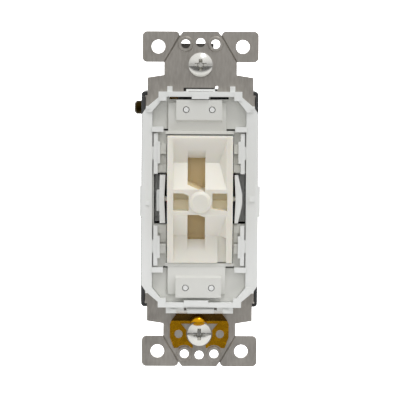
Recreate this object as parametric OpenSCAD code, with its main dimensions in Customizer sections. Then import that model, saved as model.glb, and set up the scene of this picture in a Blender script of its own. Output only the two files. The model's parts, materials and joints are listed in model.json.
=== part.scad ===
// Toggle wall switch without its face cover: rocker, frame, strap, body and contacts.
// X is to the right, Z is up along the strap, the front faces -Y.
// The back of the strap is the plane Y = 0, and X = Z = 0 is the middle of the strap.

/* [Strap] */
// Thickness of the steel strap
strap_t = 1.4; // [1.2:0.1:1.6]
// Length of the strap over its ears
strap_l = 103.8; // [103:0.1:104.5]
// Width of the strap over its ears
ear_w = 35.7; // [34.5:0.1:37]
// Height of each ear
ear_h = 9.45; // [9.2:0.05:9.6]
// Diameter of the four ear holes
ear_hole_d = 4.2; // [3.8:0.1:4.6]
// Distance between the ear holes across the strap
ear_hole_dx = 26; // [25:0.1:27]
// Distance between the ear holes along the strap
ear_hole_dz = 94.4; // [94:0.1:94.8]
// Diameter of the two tapped holes for the wall plate
plate_hole_d = 2.76; // [2.6:0.02:3]
// Distance between the wall plate holes
plate_hole_dz = 96.84; // [96.4:0.01:97.2]
// Distance between the two wall box screws
box_screw_dz = 83.34; // [83:0.01:83.8]
// Width of the neck between the ears and the body
neck_w = 22.4; // [21.8:0.1:23]
// Width of the shoulder above and below the body
shoulder_w = 32.6; // [32:0.1:33]

/* [Front frame] */
// Width of the frame over its rails
frame_w = 35.8; // [35.4:0.1:36]
// Length of the frame over its end bars
frame_l = 66.5; // [66.2:0.1:66.8]
// Height of the frame in front of the strap
frame_rise = 3.4; // [3:0.1:4]
// Height of the frame's centre above the middle of the strap
frame_z = 0.15; // [0:0.05:0.3]
// Distance of the left rail's inner edge from the middle
left_edge = 14.7; // [14.6:0.05:14.8]
// Distance of the right rail's inner edge from the middle
right_edge = 14.15; // [14:0.05:14.3]
// Width of each end bar over its outer corners
end_bar_w = 25.7; // [25:0.1:26.4]

/* [Mechanism cover] */
// Height of the mechanism's centre above the middle of the strap
mech_z = 0.4; // [0.3:0.05:0.5]
// Left edge of the end decks
deck_left = -9.85; // [-10:0.05:-9.6]
// Right edge of the end decks
deck_right = 7.9; // [7.6:0.05:8.2]
// Height of the end decks in front of the strap
deck_rise = 2.2; // [1.8:0.1:2.4]
// Height of the side floors in front of the strap
floor_rise = 0.4; // [0.2:0.1:0.6]
// Diameter of the four cover pins
pin_d = 1.6; // [1.5:0.1:1.8]

/* [Rocker] */
// Width of the rocker
rocker_w = 20.1; // [19.6:0.1:20.3]
// Length of the rocker
rocker_l = 39.2; // [38.8:0.1:39.4]
// Height of the rocker's ridge in front of the strap, before it is tilted
ridge_rise = 8; // [7.6:0.1:8.6]
// Height of the rocker's ends in front of the strap, before it is tilted
end_rise = 4.2; // [3.8:0.1:4.6]
// Height of the pivot axis in front of the strap
pivot_rise = 1.2; // [1:0.1:1.4]
// Tilt of the rocker at rest, its top end towards the front
rocker_tilt = 5; // [4:0.5:6]
// Diameter of the rocker's trunnions
trunnion_d = 1.5; // [1.4:0.1:1.8]

/* [Body] */
// Width of the back body
body_w = 36.1; // [36:0.1:36.4]
// Length of the back body
body_l = 66.8; // [66.4:0.1:67]
// Depth of the back body behind the strap
body_depth = 24; // [23.6:0.1:26]

/* [Contacts] */
// Tilt of the contact arm at rest, opposite to the rocker's
arm_tilt = 6; // [5:0.5:6]
// Depth of the contact arm's pivot behind the strap's back
arm_y = 12.2; // [12.1:0.1:12.4]
// Depth of the terminals' back plates behind the strap's back
plate_y = 15.5; // [15.4:0.1:15.6]
// Distance of the terminal screws from the mechanism's centre
terminal_z = 27.85; // [27.7:0.05:28]
// How far the common screw is backed out
screw_travel = 2.05; // [2:0.05:2.6]

/* [Hidden] */
$fn = 48;
EPS = 0.01;

steel = [0.60, 0.58, 0.55];
nickel = [0.75, 0.74, 0.72];
frame_white = [0.88, 0.89, 0.88];
cover_grey = [0.80, 0.80, 0.78];
ivory = [0.88, 0.86, 0.80];
body_black = [0.15, 0.15, 0.15];
brass = [0.67, 0.43, 0.05];
dark_brass = [0.30, 0.23, 0.08];
copper = [0.72, 0.45, 0.28];
silver = [0.82, 0.82, 0.80];
ground_green = [0.10, 0.38, 0.18];
fibre_grey = [0.42, 0.41, 0.39];

// Planes in depth
front_y = -strap_t;
frame_y = front_y - frame_rise;
floor_y = front_y - floor_rise;
deck_y = front_y - deck_rise;
raised_y = deck_y - 0.7;
pivot_y = front_y - pivot_rise;
cover_back_y = 1.1;
rocker_open_z = 19.95;
rim_y = -1.2;
wing_back_y = 3;
notch_x = 6.45;
notch_z = strap_l / 2 - 1.45;

// Strap
box_screw_z = box_screw_dz / 2;
strap_open_x = 14.9;
strap_open_z = 31.9;
strap_corner_cut = [2.9, 3.5];
frame_open_z = 31.75;
frame_corner_cut = [3.7, 4.5];
wing_x = 17;
washer_x = 4.6;
washer_z = 48;
washer_r = 2.45;
shear = 0.45;

// Rocker, in its own frame: y from the pivot, before the tilt
ridge_y = pivot_rise - ridge_rise;
end_y = pivot_rise - end_rise;
half_l = rocker_l / 2;
half_w = rocker_w / 2;
ridge_z = 3.95;
valley_z = 11.4;
valley_y = -0.9;
rail = 1.9;
end_rim = 0.6;
draft = 2.2;
slot_x = [-3.8, 1.6];
slot_end_z = 12.7;
slot_y = 3;
stem_back_y = 10;
bore_r = 1.75;
rim_slope = atan2(end_y - ridge_y, half_l - ridge_z);

// Contacts and screws
shank_r = 1.42;
head_r = 2.1;
head_t = 2.3;
home_x = -16.1;
side_plate_x = -13.7;
sheet = 1.2;
arm_w = 5;
ground_z = -36.9;

// A flat shape in X and Z, from the depth y0 back to y1
module slab(y0, y1) {
    translate([0, y1, 0]) rotate([90, 0, 0]) linear_extrude(y1 - y0) children();
}

// A flat shape in Y and Z, from x0 to x1
module side_slab(x0, x1) {
    translate([x0, 0, 0]) rotate([90, 0, 90]) linear_extrude(x1 - x0) children();
}

// A block given by its two corners
module block(a, b) {
    translate(a) cube(b - a);
}

// A round bar along Y, from the depth y0 back to y1
module bar_y(r, y0, y1) {
    translate([0, y1, 0]) rotate([90, 0, 0]) cylinder(r = r, h = y1 - y0);
}

// A round bar along X, from x0 to x1
module bar_x(r, x0, x1) {
    translate([x0, 0, 0]) rotate([0, 90, 0]) cylinder(r = r, h = x1 - x0);
}

// A flat rectangle with round corners, centred
module round_rect(w, h, r) {
    square([w - 2 * r, h], center = true);
    square([w, h - 2 * r], center = true);
    for (x = [-1, 1], y = [-1, 1])
        translate([x * (w / 2 - r), y * (h / 2 - r)]) circle(r = r);
}

// The children and their mirror image across X = 0
module both_sides() {
    children();
    mirror([1, 0, 0]) children();
}

// The children and their mirror image across Z = 0
module both_ends() {
    children();
    mirror([0, 0, 1]) children();
}

// The children and their mirror image across a flat shape's second axis
module both_flat_ends() {
    children();
    mirror([0, 1]) children();
}

// Outline of the upper half of the strap
module strap_half_outline() {
    neck = neck_w / 2;
    shoulder = shoulder_w / 2;
    top = strap_l / 2;
    polygon([
        [-shoulder, 0], [-shoulder, 37.7], [-neck, 38.5], [-neck, notch_z], [-notch_x - 0.05, notch_z],
        [-5.35, top], [5.35, top], [notch_x + 0.05, notch_z], [neck, notch_z], [neck, 38.5],
        [shoulder, 37.7], [shoulder, 0]
    ]);
    both_flat_sides() translate([(ear_w / 2 + notch_x) / 2, top - ear_h / 2])
        round_rect(ear_w / 2 - notch_x, ear_h, 1.4);
}

// The children and their mirror image across a flat shape's first axis
module both_flat_sides() {
    children();
    mirror([1, 0]) children();
}

// Everything cut out of the upper half of the strap
module strap_half_cuts() {
    translate([0, plate_hole_dz / 2]) circle(d = plate_hole_d);
    translate([0, box_screw_z]) round_rect(5.7, 3.9, 1.949);
    both_flat_sides() {
        translate([ear_hole_dx / 2, ear_hole_dz / 2]) circle(d = ear_hole_d);
        translate([washer_x, washer_z]) circle(d = plate_hole_d);
    }
}

// The slot across the top of the strap, with a square notch at its right end
module strap_slot() {
    translate([-5.2, 33.4]) square([10.4, 1.2]);
    translate([4.65, 34.3]) square([0.75, 0.8]);
}

// The children at each of the two ground clip rivets
module rivet_places() {
    for (x = [-6.4, 6.4]) translate([x, -box_screw_z]) children();
}

// The children at each of the four break-off washers
module washer_places() {
    for (x = [-washer_x, washer_x], z = [-washer_z, washer_z]) translate([x, z]) children();
}

// The raised faces of the break-off washers, with a slanted rim
module washers() {
    translate([0, front_y + EPS, 0]) rotate([90, 0, 0]) washer_places()
        cylinder(r1 = washer_r, r2 = washer_r - 0.3, h = shear + EPS);
}

// The score line along which one ear breaks off
module score_line() {
    run = [neck_w / 2 - notch_x, strap_l / 2 - ear_h - notch_z];
    translate([notch_x, front_y, notch_z]) rotate([0, atan2(run[0], run[1]), 0])
        rotate([0, 0, 45]) translate([-0.22, -0.22, -0.6]) cube([0.44, 0.44, norm(run) + 1.4]);
}

module strap() {
    color(steel) {
        difference() {
            union() {
                slab(front_y, 0) both_flat_ends() strap_half_outline();
                washers();
                strap_wings();
            }
            slab(-shear, 1) washer_places() circle(r = washer_r);
            slab(front_y - 1, wing_back_y + 1) {
                both_flat_ends() strap_half_cuts();
                strap_slot();
                strap_opening(0);
                rivet_places() circle(r = 1.05);
            }
            both_sides() both_ends() score_line();
        }
    }
}

// The strap's large opening made smaller by gap; the frame's corners cover its cut corners
module strap_opening(gap) {
    x = strap_open_x - gap;
    z = strap_open_z - gap;
    both_flat_ends() both_flat_sides() polygon([
        [0, 0], [0, z], [x - strap_corner_cut[0], z], [x, z - strap_corner_cut[1]], [x, 0]
    ]);
}

// The folded sides of the strap, with a round bend along the front edge
module strap_wings() {
    wing_z = 32.2;
    bend = 0.7;
    both_sides() {
        block([wing_x - strap_t, front_y + bend, -wing_z], [wing_x, wing_back_y, wing_z]);
        block([wing_x - strap_t, front_y, -wing_z], [wing_x - bend, front_y + bend, wing_z]);
        translate([wing_x - bend, front_y + bend, -wing_z]) cylinder(r = bend, h = 2 * wing_z);
    }
}

// Outer outline of the frame
module frame_outline() {
    bar = end_bar_w / 2;
    rail_x = frame_w / 2;
    end = frame_l / 2;
    both_flat_ends() both_flat_sides() polygon([
        [0, 0], [0, end], [bar, end], [bar, end - 1.7], [16.6, end - 4.9],
        [rail_x, end - 6.9], [rail_x, 0]
    ]);
}

// Inner opening of the frame
module frame_opening() {
    z = frame_open_z;
    corner = frame_corner_cut;
    both_flat_ends() polygon([
        [-left_edge, 0], [-left_edge, z - corner[1]], [corner[0] - left_edge, z],
        [right_edge - corner[0], z], [right_edge, z - corner[1]], [right_edge, 0]
    ]);
}

// A side bar of the frame with its bridge to the rail, on the right of an edge at X = edge
module side_bar(edge) {
    back = floor_y - EPS;
    block([edge - 1.7, front_y - 2.5, 8], [edge - 0.4, back, 20.4]);
    block([edge - 2.4, front_y - 2.9, 11.2], [edge - 1.6, back, 18]);
    block([edge - 0.5, front_y - 2.3, 12.4], [edge + 0.2, back, 16.4]);
    block([edge - 3.4, front_y - 3, 20.9], [edge + 0.2, front_y - 0.8, 22.5]);
}

// The slope from a rail's crest down to its inner edge, on the right
module rail_slope(edge) {
    translate([0, 0, -27]) linear_extrude(54) polygon([
        [edge - 1, frame_y - 1], [edge - 1, frame_y + 1], [edge, frame_y + 0.9],
        [16.9, frame_y], [16.9, frame_y - 1]
    ]);
}

// The raised block and the small tooth at one corner of the frame
module frame_corner() {
    block([10.4, frame_y - 0.35, 30.5], [end_bar_w / 2, front_y - 1, frame_l / 2]);
    block([15.5, frame_y - 0.3, 27.9], [16.7, front_y - 1, 28.8]);
}

module front_frame() {
    color(frame_white) translate([0, 0, frame_z]) {
        difference() {
            slab(frame_y, front_y - EPS) difference() {
                frame_outline();
                frame_opening();
            }
            rail_slope(right_edge);
            mirror([1, 0, 0]) rail_slope(left_edge);
        }
        both_ends() {
            side_bar(right_edge);
            mirror([1, 0, 0]) side_bar(left_edge);
            both_sides() frame_corner();
        }
        both_sides() {
            block([17.8, front_y - 3, -5.2], [18.5, front_y - 0.2, 4.3]);
            block([7.2, front_y - 2.3, -35.1], [9, front_y - EPS, -34]);
        }
        block([9.1, front_y - 2.6, 32.9], [10.7, front_y - EPS, 34.9]);
        block([-10.2, front_y - 2.6, 32.9], [-8.6, front_y - EPS, 34.9]);
        block([15.2, frame_y - 0.2, -0.4], [16.8, frame_y + 0.9, 1.2]);
        block([-17, frame_y - 0.1, -1.7], [-15.4, frame_y + 0.6, -0.5]);
        block([-2.65, frame_y - 0.3, 31.05], [2.65, front_y - 0.5, 32.8]);
        block([-4.8, frame_y - 0.2, -32.8], [2.8, front_y - 0.5, -31.1]);
        slot_bar();
        bottom_flange();
    }
}

// The bar that lies in the strap's upper slot, and the two short legs that hold it
module slot_bar() {
    block([-4.4, front_y - 0.3, 33.4], [4.5, -0.2, 34.05]);
    block([-4.4, front_y - 0.3, 33.1], [-3.7, front_y - EPS, 33.5]);
    block([3.8, front_y - 0.3, 33.1], [4.5, front_y - EPS, 33.5]);
}

// The wider foot of the lower end bar, with a groove and a raised bar
module bottom_flange() {
    difference() {
        block([-10.4, front_y - 1.7, -35.3], [10.4, front_y - EPS, -33]);
        block([-3.9, front_y - 3, -33.75], [4.7, front_y + 1, -33.4]);
        block([-4.8, front_y - 3, -34.4], [-4, front_y + 1, -33.5]);
        block([4.6, front_y - 3, -34.3], [5.4, front_y + 1, -33.5]);
    }
    block([-3.7, front_y - 2.1, -35.3], [4.5, front_y - 1, -34.1]);
}

// One end of the cover: floor, deck, raised rectangle and ramp
module cover_end() {
    block([-10.7, front_y - 1.7, rocker_open_z], [10.4, cover_back_y, 20.9]);
    side_slab(deck_left, deck_right) polygon([
        [cover_back_y, 20.5], [front_y - 1.5, 20.5], [deck_y, 23.8], [front_y - 1.1, 29.6],
        [cover_back_y, 29.6]
    ]);
    side_slab(-7.4, 6.7) polygon([
        [cover_back_y, 22], [deck_y + 0.3, 23.4], [raised_y, 24.4], [raised_y, 30.55],
        [cover_back_y, 30.55]
    ]);
    cover_steps(right_edge);
    mirror([1, 0, 0]) cover_steps(left_edge);
}

// The narrow slots in the floor: one along the deck, and one at each side tab
module cover_slots() {
    slab(-20, floor_y + 0.3) translate([deck_left - 0.35, 21.2]) square([0.35, 8.6]);
    slab(-20, 20) {
        translate([-11.3, 20.95]) square([1.4, 0.55]);
        translate([8.1, 20.95]) square([2.6, 0.55]);
    }
}

// The steps and ribs beside the rocker, on the right, clear of the frame's side bars
module cover_steps(edge) {
    low_y = floor_y + 0.5;
    block([10.45, front_y - 1.9, 13.9], [edge - 2.45, low_y, 16.9]);
    block([10.45, front_y - 2.3, 13.9], [edge - 2.45, low_y, 14.5]);
    block([10.45, front_y - 0.9, 10.6], [edge - 2.45, low_y, 13.5]);
    block([10.45, front_y - 1.3, 8.2], [edge - 1.8, low_y, 10.6]);
}

// Outline of one half of the cover's floor, just inside the frame's opening that ends at z
module cover_half_floor(z) {
    gap = 0.1;
    corner = frame_corner_cut + [gap / 2, gap / 2];
    polygon([
        [gap - left_edge, 0], [gap - left_edge, z - corner[1]], [corner[0] - left_edge, z - gap],
        [right_edge - corner[0], z - gap], [right_edge - gap, z - corner[1]],
        [right_edge - gap, 0]
    ]);
}

module mechanism_cover() {
    rocker_open_x = 10.25;
    color(cover_grey) translate([0, 0, mech_z]) difference() {
        union() {
            slab(floor_y, cover_back_y) {
                cover_half_floor(frame_open_z + frame_z - mech_z);
                mirror([0, 1]) cover_half_floor(frame_open_z - frame_z + mech_z);
            }
            slab(front_y + EPS, cover_back_y) translate([0, -mech_z]) strap_opening(0.1);
            slab(0.1, cover_back_y) square([30.6, 60], center = true);
            both_ends() cover_end();
        }
        slab(-20, 0.1) square([2 * rocker_open_x, 2 * rocker_open_z], center = true);
        slab(-20, 20) {
            square([2 * rocker_open_x, 2 * (rocker_open_z - 1.2)], center = true);
            square([28.4, 15.8], center = true);
            translate([-9.5, 30.65]) square([6.8, 0.7]);
            translate([3.1, 30.65]) square([5.6, 0.7]);
        }
        pin_places() bar_y(pin_d / 2 + 0.2, -20, 20);
        both_ends() cover_slots();
    }
}

// The children at each of the four cover pins
module pin_places() {
    for (x = [-4.35, 3.65], z = [-27.5, 27.5]) translate([x, 0, z]) children();
}

module cover_pins() {
    color(frame_white) translate([0, 0, mech_z]) pin_places()
        bar_y(pin_d / 2, raised_y - 0.1, 7);
}

// Places its children in the rocker's own frame, at rest
module at_pivot() {
    translate([0, pivot_y, mech_z]) rotate([rocker_tilt, 0, 0]) children();
}

// The solid outside of the rocker, before it is tilted
module rocker_shell() {
    side_slab(-half_w, half_w) polygon([
        [end_y, -half_l], [ridge_y, -ridge_z], [ridge_y, ridge_z], [end_y, half_l],
        [0.4, half_l], [2.2, 15], [2.2, -15], [0.4, -half_l]
    ]);
    block([-5, 0, -14.3], [2.8, slot_y + 1.2, 14.3]);
    block([-3.2, 0, -3], [3.2, stem_back_y, 3]);
    bar_x(trunnion_d / 2, -half_w - 2.2, half_w + 2.2);
    translate([0.15, ridge_y, 0]) rotate([90, 0, 0]) {
        cylinder(r = 3.3, h = 0.5);
        translate([0, 0, 0.5]) cylinder(r1 = 3.3, r2 = 2.5, h = 0.6);
    }
}

// The upper valley: a sloped floor between a plain left wall and a drafted right wall
module valley() {
    mouth = half_w - rail;
    rim_end_z = half_l - end_rim;
    rim_end_y = end_y - end_rim * tan(rim_slope);
    deep = 4;
    intersection() {
        side_slab(-half_w, half_w) polygon([
            [ridge_y - 4, ridge_z], [ridge_y, ridge_z], [valley_y, valley_z],
            [rim_end_y, rim_end_z], [ridge_y - 4, rim_end_z]
        ]);
        translate([0, ridge_y, ridge_z]) rotate([-rim_slope, 0, 0])
            translate([0, 0, -4]) linear_extrude(26) polygon([
                [-mouth, -6], [mouth, -6], [mouth, 0], [mouth - draft, deep],
                [mouth - draft, 6], [-mouth, 6]
            ]);
    }
}

// The slot in the upper valley, with a slanted end at the knob and a sloped far end
module upper_slot() {
    slab(ridge_y - 1, slot_y) polygon([
        [slot_x[0], 5.25], [slot_x[1], 3.1], [slot_x[1], slot_end_z], [slot_x[0], slot_end_z]
    ]);
    slot_far_slope();
}

// The slot in the lower valley; its end follows the same slanted gusset
module lower_slot() {
    slab(ridge_y - 1, slot_y) polygon([
        [slot_x[0], -3.9], [-0.4, -3.9], [slot_x[1], -4.75],
        [slot_x[1], -slot_end_z], [slot_x[0], -slot_end_z]
    ]);
    mirror([0, 0, 1]) slot_far_slope();
}

// The sloped far end of a slot
module slot_far_slope() {
    side_slab(slot_x[0], slot_x[1]) polygon([
        [-6, slot_end_z - 1], [-6, 15.7], [-2.3, 15.7], [0.6, slot_end_z - 0.1],
        [0.6, slot_end_z - 1]
    ]);
}

// The open channel along the lower right rail
module channel() {
    side_slab(5.5, half_w - rail) polygon([
        [-8, -valley_z], [valley_y, -valley_z], [valley_y - 0.9, -half_l - 1], [-8, -half_l - 1]
    ]);
}

// A window beside the knob with a step in its floor; the children are its outline
module window() {
    slab(ridge_y - 1, -3.6) children();
    slab(ridge_y - 1, -2.8) intersection() {
        children();
        translate([-9, 0.1]) square([18, 3]);
    }
}

// Outline of the left window, its inner upper corner cut by the gusset
module left_window() {
    polygon([[-8.15, -2.75], [-8.15, 2.75], [-5.1, 2.75], [-3.45, 1.95], [-3.45, -2.75]]);
}

// Outline of the right window, its lower edge slanted by the gusset
module right_window() {
    polygon([[8.35, -2.75], [8.35, 2.75], [3.8, 2.75], [3.8, -2.05]]);
}

module rocker() {
    color(ivory) at_pivot() difference() {
        rocker_shell();
        both_ends() valley();
        channel();
        upper_slot();
        lower_slot();
        window() left_window();
        window() right_window();
        bar_y(bore_r, 2, stem_back_y + 1);
    }
}

// A leaf that holds one end of the rocker's trunnion, on the right; bow is how far it bulges
module pivot_clip(inner, outer, bow) {
    difference() {
        union() {
            slab(pivot_y - 2.1, 9) polygon([
                [inner, 7.4], [outer, 7.4], [outer + bow, 1.6], [outer + bow, -1.6], [outer, -7.4],
                [inner, -7.4], [inner + 0.3, -0.9], [inner + 0.3, 0.9]
            ]);
            block([inner + 0.4, 2.5, -7.4], [14, 9, 7.4]);
        }
        translate([0, pivot_y, 0]) bar_x(trunnion_d / 2 + 0.05, 8, 14);
    }
}

module pivot_clip_right() {
    color(frame_white) translate([0, 0, mech_z]) pivot_clip(10.65, 11.7, 1.3);
}

module pivot_clip_left() {
    color(frame_white) translate([0, 0, mech_z]) {
        mirror([1, 0, 0]) pivot_clip(10.65, 12.35, 0.15);
        block([-13.4, pivot_y - 0.2, -3.8], [-12.4, 8, 2.8]);
    }
}

module back_body() {
    color(body_black) difference() {
        translate([-0.12, 0, 0]) slab(rim_y, body_depth) round_rect(body_w, body_l, 1);
        slab(rim_y - 1, wing_back_y + 0.3) square([34.1, 64.8], center = true);
        // clear of the strap, which covers the end walls
        both_ends() block([-20, rim_y - 1, strap_open_z - 0.05], [20, 0.05, 34]);
        translate([0, 0, mech_z]) {
            difference() {
                slab(0, body_depth - 2) square([32.6, 63], center = true);
                body_ribs();
            }
            both_ends() {
                block([-body_w / 2 - 2, 4, 24.2], [-16, 12.4, 31]);
                translate([-8.5, 0, 27.6]) bar_y(1.2, body_depth - 5, body_depth + 1);
            }
        }
    }
}

// The end blocks, posts and ribs inside the body
module body_ribs() {
    block([-1.5, plate_y + sheet + 0.02, -31.6], [1.5, body_depth - 1, 31.6]);
    difference() {
        both_ends() block([-7, cover_back_y + 0.05, 24.6], [7, 9, 31.6]);
        pin_places() bar_y(pin_d / 2 + 0.02, -1, 7.1);
    }
    both_sides() {
        block([10.9, 9.05, -7.6], [17, body_depth - 1, 7.6]);
        both_ends() block([8, cover_back_y + 0.05, 17.6], [17, body_depth - 1, 18.8]);
    }
}

// A combination-drive screw head with its underside at the depth 0
module pan_head(r, t) {
    rise = t * 0.6;
    difference() {
        intersection() {
            bar_y(r, -t, 0);
            translate([0, (r * r - rise * rise) / (2 * rise) + rise - t, 0])
                sphere(r = (r * r + rise * rise) / (2 * rise), $fn = 64);
        }
        block([-r, -t - 1, -0.35], [r, 1.65 - t, 0.35]);
        block([-0.45, -t - 1, -r * 0.5], [0.45, 1.9 - t, r * 0.5]);
        block([-r * 0.5, -t - 1, -0.45], [r * 0.5, 1.9 - t, 0.45]);
    }
}

// A wall box screw: head, narrow neck for its retainer, and thread
module mounting_screw(end) {
    neck_end = 2.4;
    color(nickel) translate([0, 0, end * box_screw_z]) {
        translate([0, front_y, 0]) pan_head(3.72, 2.3);
        bar_y(1.4, front_y - 0.1, neck_end);
        bar_y(1.75, neck_end, 23);
        translate([0, 24, 0]) rotate([90, 0, 0]) cylinder(r1 = 1.1, r2 = 1.75, h = 1);
    }
}

module mounting_screw_top() {
    mounting_screw(1);
}

module mounting_screw_bottom() {
    mounting_screw(-1);
}

module screw_retainer_top() {
    color(fibre_grey) slab(0.12, 0.95) difference() {
        union() {
            translate([-7, 35.5]) square([11, 12.7]);
            translate([-7, 33.5]) square([11.5, 5]);
            translate([-7, 33.5]) square([12.4, 0.7]);
        }
        translate([0, box_screw_z]) circle(r = 1.45);
    }
}

module screw_retainer_bottom() {
    color(fibre_grey) slab(1.35, 2.15) translate([0, -box_screw_z]) difference() {
        square([8, 8.6], center = true);
        circle(r = 1.45);
    }
}

// Outline of the part of the ground clip that lies on the strap
module ground_clip_outline() {
    difference() {
        polygon([
            [-8.7, -37.6], [-9.1, -38.8], [-9.1, -42.8], [-7.9, -46.1], [7.9, -46.1],
            [9.1, -42.8], [9.1, -38.8], [8.7, -37.6]
        ]);
        translate([0, -box_screw_z]) circle(r = 4.05);
        rivet_places() circle(r = 1.05);
        both_flat_sides() {
            polygon([[5.7, -38.5], [2.7, -38.5], [3.3, -41.4]]);
            translate([washer_x, -washer_z]) circle(r = washer_r + 0.4);
        }
        translate([-2, -47]) square([4, 3]);
    }
}

module ground_clip() {
    clip_t = 0.5;
    clip_y = front_y - clip_t;
    color(brass) {
        slab(clip_y, front_y - EPS) ground_clip_outline();
        // the bent upper part, narrower at its upper edge
        intersection() {
            side_slab(-9, 9) polygon([
                [front_y - EPS, -37.6], [front_y - 1.7, -35.25], [clip_y - 1.8, -35.25],
                [clip_y, -37.6]
            ]);
            slab(-6, 0) polygon([[-8.7, -37.6], [-7, -35.2], [7, -35.2], [8.7, -37.6]]);
        }
        // the round bump that presses on the screw
        intersection() {
            translate([-0.35, front_y + 0.1, -38.3]) sphere(r = 2.8, $fn = 64);
            block([-3, front_y - 3, -37.9], [3, front_y - 0.1, -35.5]);
        }
    }
}

module ground_clip_rivets() {
    color(steel) {
        slab(front_y - 1, front_y - 0.5) rivet_places() circle(r = 1.25);
        slab(front_y - 0.6, 1.3) rivet_places() circle(r = 1);
        slab(1.2, 1.7) rivet_places() circle(r = 1.4);
    }
}

module ground_bracket() {
    color(brass) difference() {
        union() {
            block([-8.4, 0.05, -44.4], [8.2, sheet, -38.8]);
            block([-8.4, 0.05, -44.4], [-8.4 + sheet, sheet, -33.7]);
            block([-8.4, 0.05, -40.1], [-8.4 + sheet, 10.5, -33.7]);
        }
        slab(-1, 3) {
            translate([0, -box_screw_z]) circle(r = 2.2);
            rivet_places() circle(r = 1.05);
        }
        translate([0, 6.2, ground_z]) bar_x(2.13, -9, -6);
    }
}

module ground_screw() {
    color(ground_green) translate([-8.45, 6.2, ground_z]) difference() {
        union() {
            bar_x(2.08, -0.5, 6);
            bar_x(3.2, -0.6, 0);
            bar_x(2.6, -2.1, -0.5);
        }
        block([-3, -4, -0.5], [-1.2, 4, 0.5]);
    }
}

module plunger() {
    reach = 13.3;
    color(ivory) at_pivot() {
        bar_y(bore_r - 0.04, 5.4, reach - bore_r);
        translate([0, reach - bore_r, 0]) sphere(r = bore_r - 0.04);
    }
}

// Points of one ring of a coil at turn t, for a wire of radius wire
function coil_ring(t, coil_r, wire, pitch, sides) = [
    for (i = [0:sides - 1])
        let (a = 360 * i / sides, r = coil_r + wire * cos(a))
            [r * cos(360 * t), pitch * t + wire * sin(a), r * sin(360 * t)]
];

// A coil spring along Y
module coil(coil_r, wire, length, turns, steps = 14, sides = 8) {
    rings = turns * steps;
    pitch = (length - 2 * wire) / turns;
    points = [
        for (k = [0:rings]) each coil_ring(k / steps, coil_r, wire, pitch, sides)
    ];
    walls = [
        for (k = [0:rings - 1], i = [0:sides - 1])
            let (j = (i + 1) % sides)
                [k * sides + i, k * sides + j, (k + 1) * sides + j, (k + 1) * sides + i]
    ];
    caps = [
        [for (i = [sides - 1:-1:0]) i],
        [for (i = [0:sides - 1]) rings * sides + i]
    ];
    translate([0, wire, 0]) polyhedron(points, concat(walls, caps));
}

module plunger_spring() {
    color(nickel) at_pivot() translate([0, 2.05, 0]) coil(1.35, 0.22, 3.3, 4);
}

// Places its children in the contact arm's own frame, at rest
module on_arm() {
    translate([0, arm_y, mech_z]) rotate([-arm_tilt, 0, 0]) children();
}

module contact_arm() {
    color(copper) on_arm() difference() {
        union() {
            side_slab(-arm_w / 2, arm_w / 2) polygon([
                [-0.5, 5.6], [-0.5, 3], [-1.3, 0], [-0.5, -3], [-0.5, -11.8],
                [0.4, -11.8], [0.4, -3.2], [-0.4, 0], [0.4, 3.2], [0.4, 5.6]
            ]);
            bar_x(1.1, -arm_w / 2, arm_w / 2);
            bar_x(0.8, -arm_w / 2 - 1.5, arm_w / 2 + 1.5);
        }
        translate([0, 0, -10]) bar_y(0.62, -2, 2);
    }
}

module moving_contact() {
    color(silver) on_arm() translate([0, 0, -10]) {
        bar_y(1.6, 0.4, 1.4);
        bar_y(0.6, -0.6, 0.5);
        bar_y(1, -0.9, -0.5);
    }
}

module fixed_contact() {
    color(silver) translate([0, 0, mech_z - 9.8]) {
        bar_y(1.6, 14.9, plate_y);
        bar_y(0.8, plate_y - 0.1, plate_y + sheet - 0.1);
    }
}

// The back plate and the side plate of one terminal, at the upper end
module terminal_frame(inner_z) {
    block([-3, plate_y, inner_z], [3, plate_y + sheet, 31.2]);
    block([side_plate_x - sheet, plate_y, 24.6], [3, plate_y + sheet, 31.2]);
    difference() {
        block([side_plate_x - sheet, 3.4, 24.6], [side_plate_x, plate_y + sheet, 31.2]);
        translate([0, 8, terminal_z]) bar_x(shank_r + 0.05, -20, 0);
    }
}

module common_terminal() {
    color(brass) translate([0, 0, mech_z]) {
        terminal_frame(-2.6);
        both_sides() difference() {
            union() {
                block([arm_w / 2 + 0.15, arm_y - 1.6, -2], [arm_w / 2 + 1.35, plate_y + sheet, 2]);
                block([2, plate_y, -2.6], [arm_w / 2 + 1.35, plate_y + sheet, 2.6]);
            }
            translate([0, arm_y, 0]) bar_x(0.85, 0, 8);
        }
    }
}

module load_terminal() {
    color(brass) translate([0, 0, mech_z]) difference() {
        mirror([0, 0, 1]) terminal_frame(7.4);
        translate([0, 0, -9.8]) bar_y(0.82, plate_y - 1, plate_y + 3);
    }
}

module stop_pad() {
    color(fibre_grey) translate([0, 0, mech_z])
        block([-2.2, 13.35, 3.9], [2.2, plate_y - EPS, 6.2]);
}

// A terminal screw along X, its head's underside at x
module terminal_screw(x, end) {
    color(dark_brass) translate([x, 8, end * terminal_z + mech_z]) difference() {
        union() {
            bar_x(shank_r, -0.5, 6.2);
            bar_x(head_r, -head_t * 0.6, 0);
            translate([-head_t, 0, 0]) rotate([0, 90, 0])
                cylinder(r1 = head_r - 0.6, r2 = head_r, h = head_t * 0.4);
        }
        block([-head_t - 1, -0.35, -3], [0.7 - head_t, 0.35, 3]);
    }
}

module common_screw() {
    terminal_screw(home_x - screw_travel, 1);
}

module load_screw() {
    terminal_screw(home_x, -1);
}

// A wire pressure plate between a screw's head and its terminal
module clamp_plate(end) {
    color(brass) translate([home_x + 0.05, 8, end * terminal_z + mech_z]) difference() {
        block([0, -3.6, -3.1], [1, 3.6, 3.1]);
        bar_x(shank_r + 0.2, -1, 2);
    }
}

module common_clamp_plate() {
    clamp_plate(1);
}

module load_clamp_plate() {
    clamp_plate(-1);
}

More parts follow.
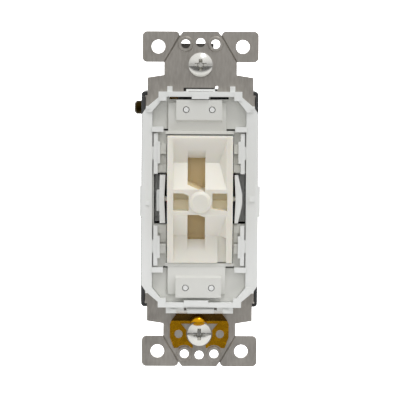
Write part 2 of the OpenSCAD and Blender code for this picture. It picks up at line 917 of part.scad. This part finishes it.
// A leaf spring that grips a wire pushed in from the back
module push_in_spring(end) {
    back = plate_y + sheet + EPS;
    color(nickel) translate([0, 0, end * 27.6 + mech_z - 1.8]) linear_extrude(3.6) polygon([
        [-12.4, back], [-4.8, back], [-4.8, 20.6], [-5.2, 21], [-5.5, 21], [-7.7, 19.2],
        [-7.5, 18.9], [-5.4, 20.4], [-5.2, 20.3], [-5.2, back + 0.4], [-12.4, back + 0.4]
    ]);
}

module common_push_in_spring() {
    push_in_spring(1);
}

module load_push_in_spring() {
    push_in_spring(-1);
}

strap();
front_frame();
mechanism_cover();
cover_pins();
rocker();
pivot_clip_left();
pivot_clip_right();
back_body();
mounting_screw_top();
mounting_screw_bottom();
screw_retainer_top();
screw_retainer_bottom();
ground_clip();
ground_clip_rivets();
ground_bracket();
ground_screw();
plunger();
plunger_spring();
contact_arm();
moving_contact();
fixed_contact();
common_terminal();
load_terminal();
stop_pad();
common_screw();
load_screw();
common_clamp_plate();
load_clamp_plate();
common_push_in_spring();
load_push_in_spring();
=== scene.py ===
"""The looks of a toggle wall switch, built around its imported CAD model."""

import json
import math

import bpy
from mathutils import Matrix, Vector


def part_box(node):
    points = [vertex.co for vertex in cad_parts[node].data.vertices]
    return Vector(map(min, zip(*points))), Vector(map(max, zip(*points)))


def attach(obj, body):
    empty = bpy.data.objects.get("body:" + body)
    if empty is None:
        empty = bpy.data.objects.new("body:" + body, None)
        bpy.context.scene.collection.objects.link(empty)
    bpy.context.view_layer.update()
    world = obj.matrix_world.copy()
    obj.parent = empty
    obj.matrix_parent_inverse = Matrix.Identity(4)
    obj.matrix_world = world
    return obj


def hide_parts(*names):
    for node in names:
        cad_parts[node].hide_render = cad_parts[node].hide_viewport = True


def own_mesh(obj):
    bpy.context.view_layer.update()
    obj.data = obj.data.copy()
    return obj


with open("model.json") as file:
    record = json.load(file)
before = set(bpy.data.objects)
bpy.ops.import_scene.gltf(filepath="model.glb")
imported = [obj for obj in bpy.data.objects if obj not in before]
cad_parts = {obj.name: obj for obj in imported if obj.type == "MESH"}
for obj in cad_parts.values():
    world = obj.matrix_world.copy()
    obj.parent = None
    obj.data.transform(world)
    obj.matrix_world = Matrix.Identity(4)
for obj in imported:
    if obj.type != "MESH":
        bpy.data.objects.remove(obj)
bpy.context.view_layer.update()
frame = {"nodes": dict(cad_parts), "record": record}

MM = 0.001
NODES = frame["nodes"]


# ---------------------------------------------------------------- camera, light, stage

def camera():
    """A long lens on the front, a little above the switch and looking down at it."""
    distance = 650 * MM
    elevation = math.radians(4.2)
    roll = math.radians(0.3)
    span = 123.65 * MM
    target = Vector((0.03 * MM, -1.4 * MM, -0.06 * MM))
    data = bpy.data.cameras.new("camera")
    data.angle = 2 * math.atan(span / 2 / distance)
    data.clip_start = 0.01
    obj = bpy.data.objects.new("camera", data)
    away = Vector((0, -math.cos(elevation), math.sin(elevation)))
    turned = away.to_track_quat("Z", "Y") @ Matrix.Rotation(roll, 3, "Z").to_quaternion()
    obj.location = target + away * distance
    obj.rotation_euler = turned.to_euler()
    bpy.context.scene.collection.objects.link(obj)
    bpy.context.scene.camera = obj


def area_light(name, place, size, power, aim=(0, 0, 0)):
    data = bpy.data.lights.new(name, "AREA")
    data.shape = "RECTANGLE"
    data.size, data.size_y = size
    data.energy = power
    obj = bpy.data.objects.new(name, data)
    obj.location = Vector(place)
    obj.rotation_euler = (Vector(place) - Vector(aim)).to_track_quat("Z", "Y").to_euler()
    bpy.context.scene.collection.objects.link(obj)


def surround():
    """A grey room round the switch, bright above and darker below."""
    world = bpy.data.worlds.new("room")
    world.use_nodes = True
    tree = world.node_tree
    back = tree.nodes["Background"]
    coord = tree.nodes.new("ShaderNodeTexCoord")
    split = tree.nodes.new("ShaderNodeSeparateXYZ")
    ramp = tree.nodes.new("ShaderNodeValToRGB")
    spread = tree.nodes.new("ShaderNodeMapRange")
    spread.inputs["From Min"].default_value = -1
    spread.inputs["From Max"].default_value = 1
    tree.links.new(coord.outputs["Generated"], split.inputs[0])
    tree.links.new(split.outputs["Z"], spread.inputs["Value"])
    tree.links.new(spread.outputs["Result"], ramp.inputs["Fac"])
    tree.links.new(ramp.outputs["Color"], back.inputs["Color"])
    below, above = ramp.color_ramp.elements
    below.position, above.position = 0.3, 0.75
    below.color = (0.25, 0.25, 0.25, 1)
    above.color = (0.8, 0.8, 0.8, 1)
    back.inputs["Strength"].default_value = 1.4
    bpy.context.scene.world = world


def stage():
    """A glowing floor below the switch that sweeps up into a wall behind.

    It is dark in front of the switch, grey just below it and nearly white behind it.
    """
    floor_z, front_edge, wall_y, wall_top, bend, half = -0.12, -1.2, 1.0, 1.6, 0.12, 2.2
    dark, grey, white = 0.05, 0.48, 0.95
    steps = 12
    profile = [(front_edge, floor_z), (wall_y - bend, floor_z)]
    for i in range(1, steps + 1):
        a = math.pi / 2 * i / steps
        profile.append((wall_y - bend + bend * math.sin(a), floor_z + bend * (1 - math.cos(a))))
    profile.append((wall_y, wall_top))
    verts = [(x, y, z) for y, z in profile for x in (-half, half)]
    faces = [(2 * i, 2 * i + 1, 2 * i + 3, 2 * i + 2) for i in range(len(profile) - 1)]
    mesh = bpy.data.meshes.new("floor")
    mesh.from_pydata(verts, [], faces)
    for face in mesh.polygons:
        face.use_smooth = True
    obj = bpy.data.objects.new("floor", mesh)
    bpy.context.scene.collection.objects.link(obj)
    mat = bpy.data.materials.new("floor")
    mat.use_nodes = True
    tree = mat.node_tree
    shader = tree.nodes["Principled BSDF"]
    shader.inputs["Roughness"].default_value = 0.9
    shader.inputs["Emission Strength"].default_value = 1
    place = tree.nodes.new("ShaderNodeTexCoord")
    split = tree.nodes.new("ShaderNodeSeparateXYZ")
    tree.links.new(place.outputs["Object"], split.inputs[0])
    along = tree.nodes.new("ShaderNodeMapRange")
    along.inputs["From Min"].default_value = -1
    along.inputs["From Max"].default_value = 1
    tree.links.new(split.outputs["Y"], along.inputs["Value"])
    ramp = tree.nodes.new("ShaderNodeValToRGB")
    tree.links.new(along.outputs["Result"], ramp.inputs["Fac"])
    tones = ramp.color_ramp.elements
    for y, tone in ((-0.2, dark), (-0.12, grey), (0.01, grey), (0.07, white)):
        tones.new((y + 1) / 2).color = (tone, tone, tone, 1)
    tones[0].color = (dark, dark, dark, 1)
    tones[len(tones) - 1].color = (white, white, white, 1)
    for name in ("Base Color", "Emission Color"):
        tree.links.new(ramp.outputs["Color"], shader.inputs[name])
    obj.data.materials.append(mat)


camera()
surround()
area_light("key", (0.17, -0.3, 0.63), (0.16, 0.16), 1.05)
stage()
bpy.context.scene.view_settings.view_transform = "Standard"


# ---------------------------------------------------------------- materials

def srgb(r, g, b):
    """Linear colour from 8-bit sRGB values."""
    def lin(c):
        c /= 255
        return c / 12.92 if c <= 0.04045 else ((c + 0.055) / 1.055) ** 2.4
    return (lin(r), lin(g), lin(b), 1)


class Finish:
    """A procedural material: a base colour with noise in its colour, its roughness and its surface."""

    def __init__(self, name, color, rough, metal=0.0):
        self.mat = bpy.data.materials.new(name)
        self.mat.use_nodes = True
        self.tree = self.mat.node_tree
        self.shader = self.tree.nodes["Principled BSDF"]
        self.color, self.rough = color, rough
        self.shader.inputs["Metallic"].default_value = metal
        self.shader.inputs["Base Color"].default_value = color
        self.shader.inputs["Roughness"].default_value = rough
        self.place = self.tree.nodes.new("ShaderNodeTexCoord").outputs["Object"]
        self.normal = None

    def noise(self, scale, detail=3.0, stretch=None):
        place = self.place
        if stretch:
            turn = self.tree.nodes.new("ShaderNodeMapping")
            turn.inputs["Scale"].default_value = stretch
            self.tree.links.new(place, turn.inputs["Vector"])
            place = turn.outputs["Vector"]
        tex = self.tree.nodes.new("ShaderNodeTexNoise")
        tex.inputs["Scale"].default_value = scale
        tex.inputs["Detail"].default_value = detail
        self.tree.links.new(place, tex.inputs["Vector"])
        return tex.outputs["Fac"]

    def spread(self, value, low, high, from_low=0.3, from_high=0.7):
        node = self.tree.nodes.new("ShaderNodeMapRange")
        node.inputs["From Min"].default_value = from_low
        node.inputs["From Max"].default_value = from_high
        node.inputs["To Min"].default_value = low
        node.inputs["To Max"].default_value = high
        self.tree.links.new(value, node.inputs["Value"])
        return node.outputs["Result"]

    def tint(self, value, other, low=0.0, high=1.0):
        """Mixes another colour in where the noise is high."""
        mix = self.tree.nodes.new("ShaderNodeMix")
        mix.data_type = "RGBA"
        self.tree.links.new(self.spread(value, low, high), mix.inputs["Factor"])
        socket = self.shader.inputs["Base Color"]
        if socket.is_linked:
            self.tree.links.new(socket.links[0].from_socket, mix.inputs["A"])
        else:
            mix.inputs["A"].default_value = self.color
        mix.inputs["B"].default_value = other
        self.tree.links.new(mix.outputs["Result"], socket)
        return self

    def gloss(self, value, amount):
        """Varies the roughness about its base value."""
        out = self.spread(value, self.rough - amount, self.rough + amount)
        self.tree.links.new(out, self.shader.inputs["Roughness"])
        return self

    def bump(self, value, height, strength=1.0):
        """Adds relief of that height in metres, on top of any before it."""
        node = self.tree.nodes.new("ShaderNodeBump")
        node.inputs["Distance"].default_value = height
        node.inputs["Strength"].default_value = strength
        self.tree.links.new(value, node.inputs["Height"])
        if self.normal:
            self.tree.links.new(self.normal, node.inputs["Normal"])
        self.normal = node.outputs["Normal"]
        self.tree.links.new(self.normal, self.shader.inputs["Normal"])
        return self

    def depth(self, weight, radius, scale):
        """Light that goes a little way into the plastic."""
        self.shader.inputs["Subsurface Weight"].default_value = weight
        self.shader.inputs["Subsurface Radius"].default_value = radius
        self.shader.inputs["Subsurface Scale"].default_value = scale
        return self


def steel_finish():
    f = Finish("galvanised_steel", srgb(172, 167, 160), 0.46, 1.0)
    f.tint(f.noise(90, 4), srgb(150, 145, 138), 0.0, 0.8)
    f.tint(f.noise(1500, 2, (1, 1, 0.25)), srgb(190, 186, 180), 0.0, 0.5)
    f.gloss(f.noise(260, 3), 0.06)
    return f.bump(f.noise(1400, 3, (1, 1, 0.3)), 0.00001, 0.5)


def plastic_finish(name, color, rough, other):
    f = Finish(name, color, rough)
    f.tint(f.noise(60, 3), other, 0.0, 0.5)
    f.gloss(f.noise(400, 3), 0.05)
    return f.bump(f.noise(2500, 2), 0.000006, 0.3)


def ivory_finish():
    f = plastic_finish("ivory_plastic", srgb(234, 231, 222), 0.42, srgb(231, 227, 215))
    return f.depth(0.35, (1.0, 0.75, 0.45), 0.0012)


def ivory_slot_painted_shade_finish():
    """A warmer, darker ivory for the rocker's slots: painted shade for their depth, with warm light
    bounced inside the plastic.
    """
    f = plastic_finish("ivory_slot_painted_shade", srgb(229, 213, 176), 0.5, srgb(223, 205, 165))
    return f.depth(0.35, (1.0, 0.7, 0.4), 0.0012)


def ivory_window_painted_shade_finish():
    """A lighter warm ivory for the rocker's windows: painted shade, lighter than in the slots because
    the windows are shallower than the slots.
    """
    f = plastic_finish("ivory_window_painted_shade", srgb(240, 231, 206), 0.5, srgb(234, 223, 194))
    return f.depth(0.35, (1.0, 0.7, 0.4), 0.0012)


def metal_finish(name, color, rough, other):
    f = Finish(name, color, rough, 1.0)
    f.tint(f.noise(220, 3), other, 0.0, 0.6)
    f.gloss(f.noise(500, 3), 0.05)
    return f.bump(f.noise(900, 3), 0.000006, 0.4)


def green_finish():
    f = metal_finish("green_screw", srgb(38, 112, 58), 0.38, srgb(30, 90, 46))
    f.shader.inputs["Metallic"].default_value = 0.7
    return f


def fibre_finish():
    f = Finish("fibre", srgb(112, 110, 105), 0.8)
    f.tint(f.noise(900, 4, (1, 1, 0.4)), srgb(88, 86, 82), 0.0, 0.8)
    return f.bump(f.noise(1600, 4), 0.00002, 0.6)


FINISHES = {
    "galvanised_steel": steel_finish(),
    "white_plastic": plastic_finish("white_plastic", srgb(233, 234, 232), 0.42, srgb(228, 229, 226)),
    "grey_white_plastic": plastic_finish("grey_white_plastic", srgb(222, 222, 217), 0.5,
                                         srgb(216, 216, 210)),
    "ivory_plastic": ivory_finish(),
    "black_plastic": plastic_finish("black_plastic", srgb(60, 60, 61), 0.38, srgb(52, 52, 53)),
    "bright_steel": metal_finish("bright_steel", srgb(214, 213, 208), 0.2, srgb(196, 194, 188)),
    "brass": metal_finish("brass", srgb(206, 150, 22), 0.26, srgb(188, 132, 14)),
    "fibre": fibre_finish(),
    "green_screw": green_finish(),
    # dark_brass: brass darkened to the side screws' dark look, painted shade and dark reflection on
    # their heads
    "dark_brass": metal_finish("dark_brass", srgb(44, 34, 8), 0.42, srgb(32, 24, 4)),
    "copper_strip": metal_finish("copper_strip", srgb(214, 138, 92), 0.3, srgb(196, 118, 74)),
    "silver_contact": metal_finish("silver_contact", srgb(222, 221, 216), 0.26, srgb(202, 200, 194)),
}


# ---------------------------------------------------------------- CAD nodes

def soften(obj, width):
    """Joins the flat faces and breaks every sharp edge."""
    weld = obj.modifiers.new("weld", "WELD")
    weld.merge_threshold = 0.000002
    flat = obj.modifiers.new("flat", "DECIMATE")
    flat.decimate_type = "DISSOLVE"
    flat.angle_limit = math.radians(1)
    flat.delimit = {"NORMAL", "MATERIAL"}
    bevel = obj.modifiers.new("edges", "BEVEL")
    bevel.width = width
    bevel.segments = 2
    bevel.limit_method = "ANGLE"
    bevel.angle_limit = math.radians(32)
    bevel.use_clamp_overlap = True
    normals = obj.modifiers.new("normals", "WEIGHTED_NORMAL")
    normals.keep_sharp = False
    normals.weight = 60


EDGE = {
    "strap": 0.12, "front_frame": 0.14, "mechanism_cover": 0.14, "rocker": 0.16, "cover_pins": 0.12,
    "pivot_clip_left": 0.14, "pivot_clip_right": 0.14, "back_body": 0.25, "ground_clip": 0.06,
}

for sub in frame["record"]["subparts"]:
    node = NODES[sub["node"]]
    node.data.materials.clear()
    node.data.materials.append(FINISHES[sub["material_slot"]].mat)
    for face in node.data.polygons:
        face.use_smooth = True
    soften(node, EDGE.get(sub["node"], 0.06) * MM)


# ---------------------------------------------------------------- faces with painted shade

def rocker_painted_recess_shade():
    """Paints warm shade on the deep walls and floors of the rocker's slots and windows, standing in
    for shade and light bounced inside the plastic.
    """
    slot_painted_shade, window_painted_shade = 1, 2
    rocker = NODES["rocker"]
    rocker.data.materials.append(ivory_slot_painted_shade_finish().mat)
    rocker.data.materials.append(ivory_window_painted_shade_finish().mat)
    low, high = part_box("rocker")
    middle = (Vector(low) + Vector(high)) / 2
    for face in rocker.data.polygons:
        x, y, z = rocker.matrix_world @ face.center - middle
        depth = y + (high[1] - low[1]) / 2
        steep = abs(face.normal.y) < 0.5
        in_slot = -3.9 * MM < x < 1.7 * MM and 3.4 * MM < abs(z) < 12.8 * MM
        in_window = abs(z) < 2.8 * MM and 3.4 * MM < abs(x) < 8.4 * MM
        # painted shade: the deeper faces of the slots and windows take the warm, darker ivory
        if in_slot and (steep and depth > 3.2 * MM or depth > 8 * MM):
            face.material_index = slot_painted_shade
        if in_window and depth > 1.4 * MM:
            face.material_index = window_painted_shade


rocker_painted_recess_shade()


def brass_bend_painted_reflection():
    """Gives the ground clip's bent part, found by its normal, a dark brass: a painted dark reflection
    and shade on the same brass as the rest of the clip.
    """
    bend_normal = Vector((0, -0.794, -0.608))
    painted_reflection_tone = 1
    clip = NODES["ground_clip"]
    # painted dark reflection: the bent part's darker brass stands in for the dark surroundings it
    # reflects
    clip.data.materials.append(metal_finish("brass_bend_painted_reflection", srgb(58, 40, 8), 0.3, srgb(42, 28, 4)).mat)
    for face in clip.data.polygons:
        if (clip.matrix_world.to_3x3() @ face.normal - bend_normal).length < 0.02:
            face.material_index = painted_reflection_tone


brass_bend_painted_reflection()


# ---------------------------------------------------------------- spring and threaded screws

THREAD_PITCH = 0.794 * MM
THREAD_DEPTH = 0.36 * MM
POINT = 1.0 * MM
RIM = 0.08 * MM
CENTRE = 0.02 * MM


def lathe(name, rings, pitch, sides=40):
    """A closed turned mesh along Y. A ring is its depth, its radius and the depth of its thread."""
    verts = []
    for depth, radius, cut in rings:
        for i in range(sides):
            a = 2 * math.pi * i / sides
            groove = abs(2 * ((depth / pitch - i / sides) % 1) - 1)
            r = radius - cut * groove
            verts.append((r * math.cos(a), depth, r * math.sin(a)))
    faces = [list(range(sides - 1, -1, -1))]
    for k in range(len(rings) - 1):
        for i in range(sides):
            j = (i + 1) % sides
            faces.append([k * sides + i, k * sides + j, (k + 1) * sides + j, (k + 1) * sides + i])
    faces.append([(len(rings) - 1) * sides + i for i in range(sides)])
    mesh = bpy.data.meshes.new(name)
    mesh.from_pydata(verts, [], faces)
    mesh.flip_normals()
    return mesh


def taper(near, far, y0, y1):
    """A wedge between two rectangles given by their half sizes, from the depth y0 back to y1."""
    verts = []
    for (a, b), y in ((near, y0), (far, y1)):
        verts += [(-a, y, -b), (a, y, -b), (a, y, b), (-a, y, b)]
    faces = [(0, 1, 2, 3), (7, 6, 5, 4), (0, 4, 5, 1), (1, 5, 6, 2), (2, 6, 7, 3), (3, 7, 4, 0)]
    return verts, faces


def cut_out(obj, wedges):
    """Cuts the wedges out of a mesh object, one after another."""
    for verts, faces in wedges:
        mesh = bpy.data.meshes.new("cutter")
        mesh.from_pydata(verts, [], faces)
        cutter = bpy.data.objects.new("cutter", mesh)
        bpy.context.scene.collection.objects.link(cutter)
        boolean = obj.modifiers.new("cut", "BOOLEAN")
        boolean.operation = "DIFFERENCE"
        boolean.solver = "EXACT"
        boolean.object = cutter
        solid = obj.evaluated_get(bpy.context.evaluated_depsgraph_get())
        done = bpy.data.meshes.new_from_object(solid)
        obj.modifiers.clear()
        obj.data = done
        bpy.data.objects.remove(cutter)
        bpy.data.meshes.remove(mesh)


def screw(node, body, slot, head, shank, wedges, turn):
    """Stands for a CAD screw: a head, a neck and a threaded shank along Y, turned into its place.

    head is (radius, height, dome rise, chamfer); shank is (radius, neck radius, neck end, length)
    from the head's underside, all in metres.
    """
    radius, height, rise, chamfer = head
    shank_r, neck_r, neck_end, length = shank
    rings = []
    if rise:
        ball = (radius * radius + rise * rise) / (2 * rise)
        for i in range(13):
            r = max(radius * i / 12, CENTRE)
            rings.append((ball - math.sqrt(ball * ball - r * r) - height, r, 0))
    else:
        rings += [(-height, CENTRE, 0), (-height, radius - chamfer, 0)]
        rings += [(chamfer - height, radius, 0)]
    rings += [(-RIM, radius, 0), (0, radius - RIM, 0), (0, neck_r, 0)]
    rings += [(neck_end, neck_r, 0)]
    depth = neck_end + 0.05 * MM
    while depth < length - POINT:
        rings.append((depth, shank_r, THREAD_DEPTH))
        depth += THREAD_PITCH / 6
    rings += [(length - POINT, shank_r - 0.3 * MM, 0), (length, shank_r - 0.65 * MM, 0)]
    mesh = lathe(node + ".threaded", rings, THREAD_PITCH)
    obj = bpy.data.objects.new(node + ".threaded", mesh)
    bpy.context.scene.collection.objects.link(obj)
    cut_out(obj, wedges)
    low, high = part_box(node)
    centre = (Vector(low) + Vector(high)) / 2
    along = turn @ Vector((0, 1, 0))
    end = [low[i] if along[i] > 0.5 else high[i] if along[i] < -0.5 else centre[i] for i in range(3)]
    place = Matrix.Translation(Vector(end) + along * height)
    obj.data.transform(place @ turn.to_4x4())
    for face in obj.data.polygons:
        face.use_smooth = True
    obj.data.set_sharp_from_angle(angle=math.radians(35))
    obj.data.materials.clear()
    obj.data.materials.append(FINISHES[slot].mat)
    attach(obj, body)
    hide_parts(node)


def mounting_screw(node):
    height = 2.3 * MM
    top = -height - 0.3 * MM
    long, thin = 2.2 * MM, 0.62 * MM
    wedges = [
        taper((5 * MM, 0.36 * MM), (5 * MM, 0.34 * MM), top, 1.65 * MM - height),
        taper((long, thin), (0.7 * MM, 0.3 * MM), top, 2.15 * MM - height),
        taper((thin, long), (0.3 * MM, 0.7 * MM), top, 2.15 * MM - height),
    ]
    shank = (1.75 * MM, 1.4 * MM, 3.8 * MM, 25.3 * MM)
    screw(node, "switch_body", "bright_steel", (3.72 * MM, height, 1.38 * MM, 0), shank, wedges,
          Matrix.Identity(3))


def side_screw(node, slot, head, shank):
    """A slotted screw that points to the right."""
    height = head[1]
    cut = (0.35 * MM, 3.5 * MM)
    wedges = [taper(cut, cut, -height - 0.3 * MM, 0.7 * MM - height)]
    screw(node, node, slot, head, shank, wedges, Matrix.Rotation(math.radians(-90), 3, "Z"))


def short_spring():
    """Stands for the plunger's spring and moves with the rocker."""
    node = NODES["plunger_spring"]
    obj = bpy.data.objects.new("plunger_spring.coil", node.data.copy())
    obj.matrix_world = node.matrix_world
    bpy.context.scene.collection.objects.link(obj)
    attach(obj, "rocker")
    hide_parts("plunger_spring")
    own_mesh(obj)


short_spring()
for name in ("mounting_screw_top", "mounting_screw_bottom"):
    mounting_screw(name)
# The side screws take dark_brass, brass with painted shade and dark reflection.
for name in ("common_screw", "load_screw"):
    side_screw(name, "dark_brass", (2.1 * MM, 2.3 * MM, 0, 0.6 * MM),
               (1.42 * MM, 1.1 * MM, 0.3 * MM, 6.2 * MM))
